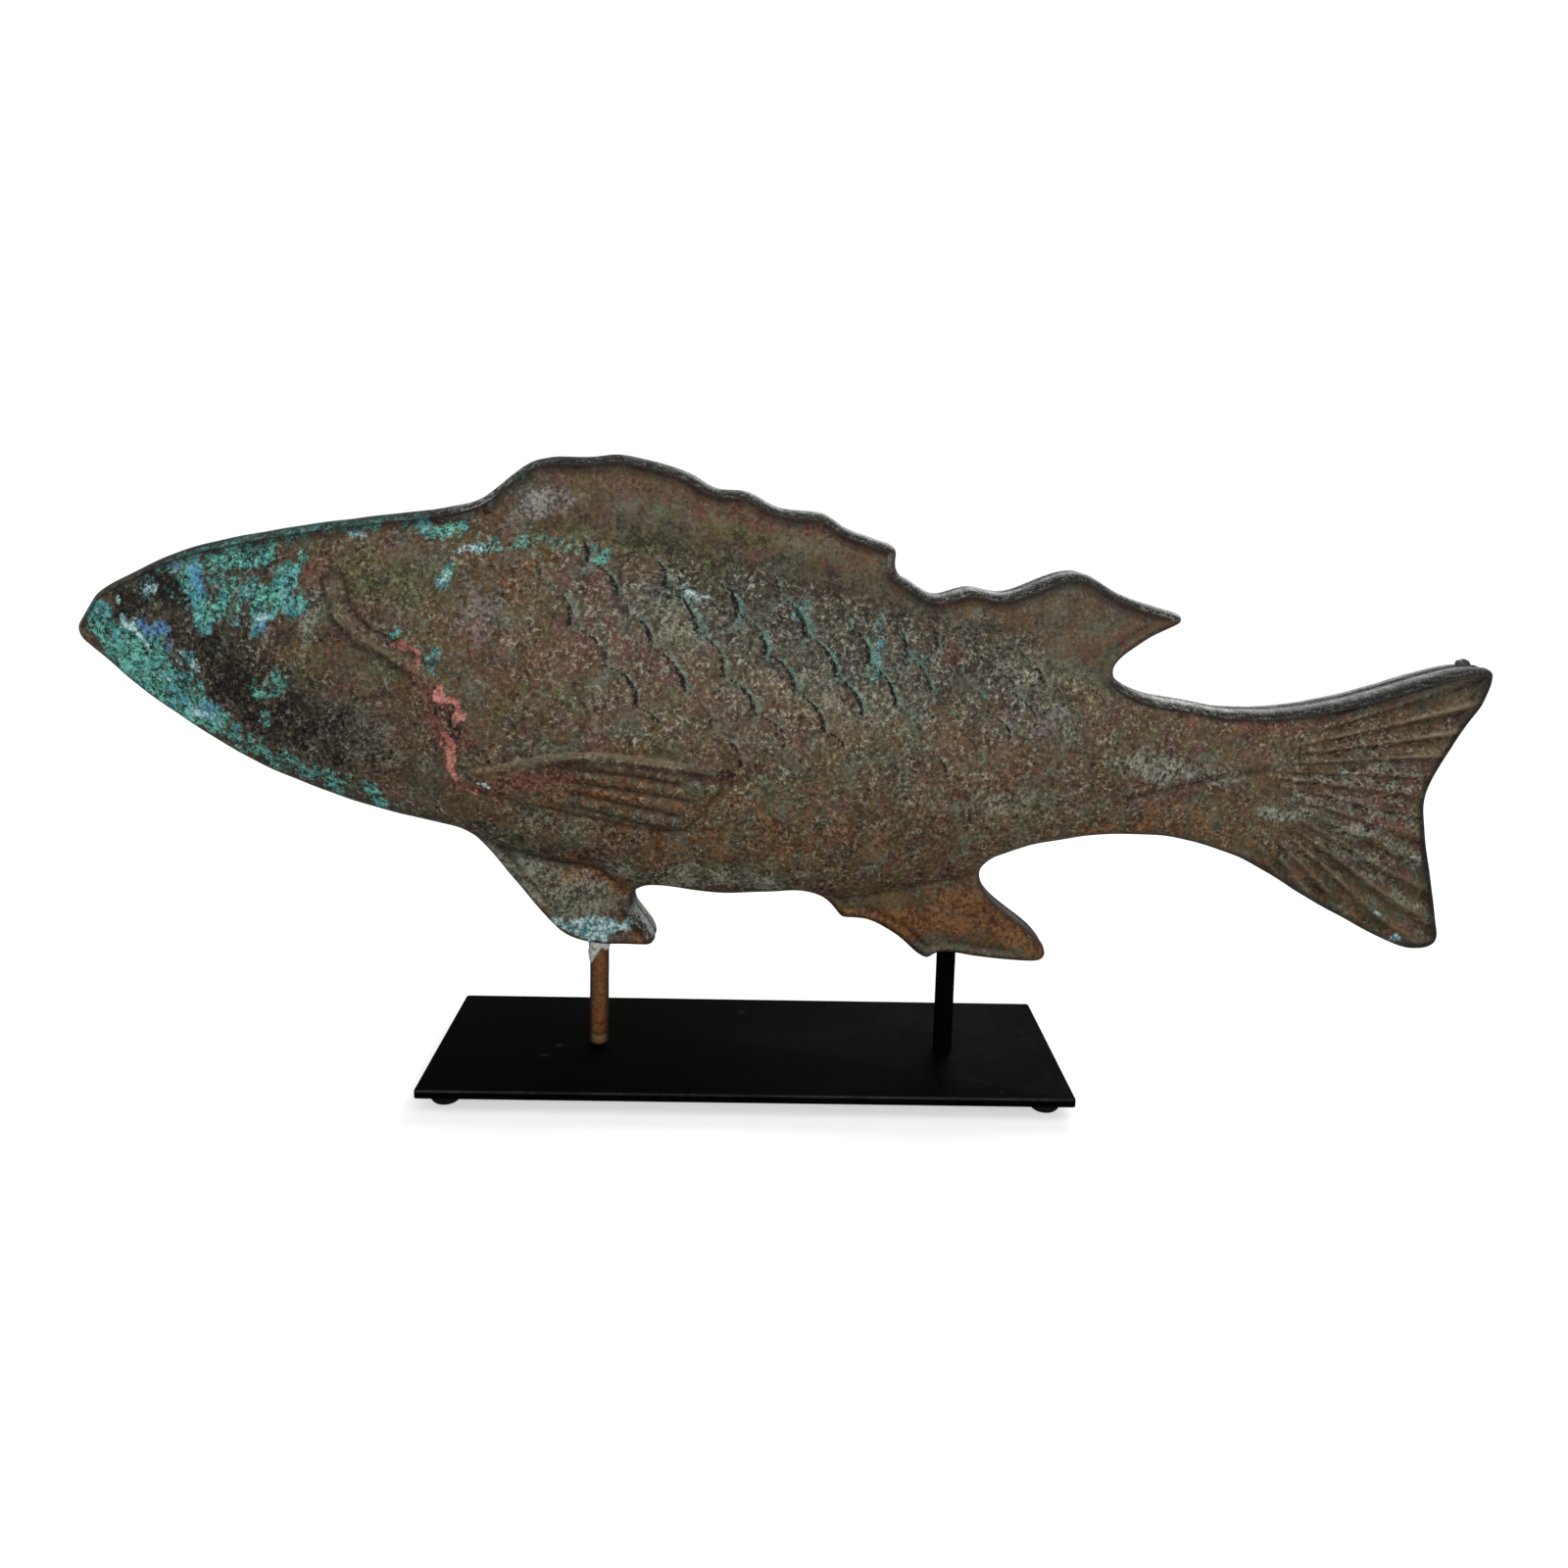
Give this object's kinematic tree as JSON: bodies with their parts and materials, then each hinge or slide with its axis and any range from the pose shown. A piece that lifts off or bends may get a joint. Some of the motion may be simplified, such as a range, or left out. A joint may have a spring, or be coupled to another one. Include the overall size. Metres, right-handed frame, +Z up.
{
  "type": "copper fish sculpture",
  "caption": "Swell-bodied sheet copper fish with raised fins and a fluted tail, held on two posts over a flat rectangular plate with small domed feet.",
  "frame": {"origin": "on the surface that the feet stand on, under the middle of the whole object's length and depth", "axes": "+X from the snout to the tail, +Y away from the viewer across the thin side, +Z up"},
  "size_m": [0.842, 0.127, 0.377],
  "materials": {
    "fish_copper": "sheet copper, brown with green, turquoise and grey patina",
    "post_copper": "worn brown copper",
    "black_steel": "black paint, satin",
    "foot_rubber": "matte black"
  },
  "bodies": {
    "root": {"fish": "fish_copper", "front_post": "post_copper", "rear_post": "black_steel", "base_plate": "black_steel", "foot_front_left": "foot_rubber", "foot_front_right": "foot_rubber", "foot_back_left": "foot_rubber", "foot_back_right": "foot_rubber"}
  },
  "joints": []
}
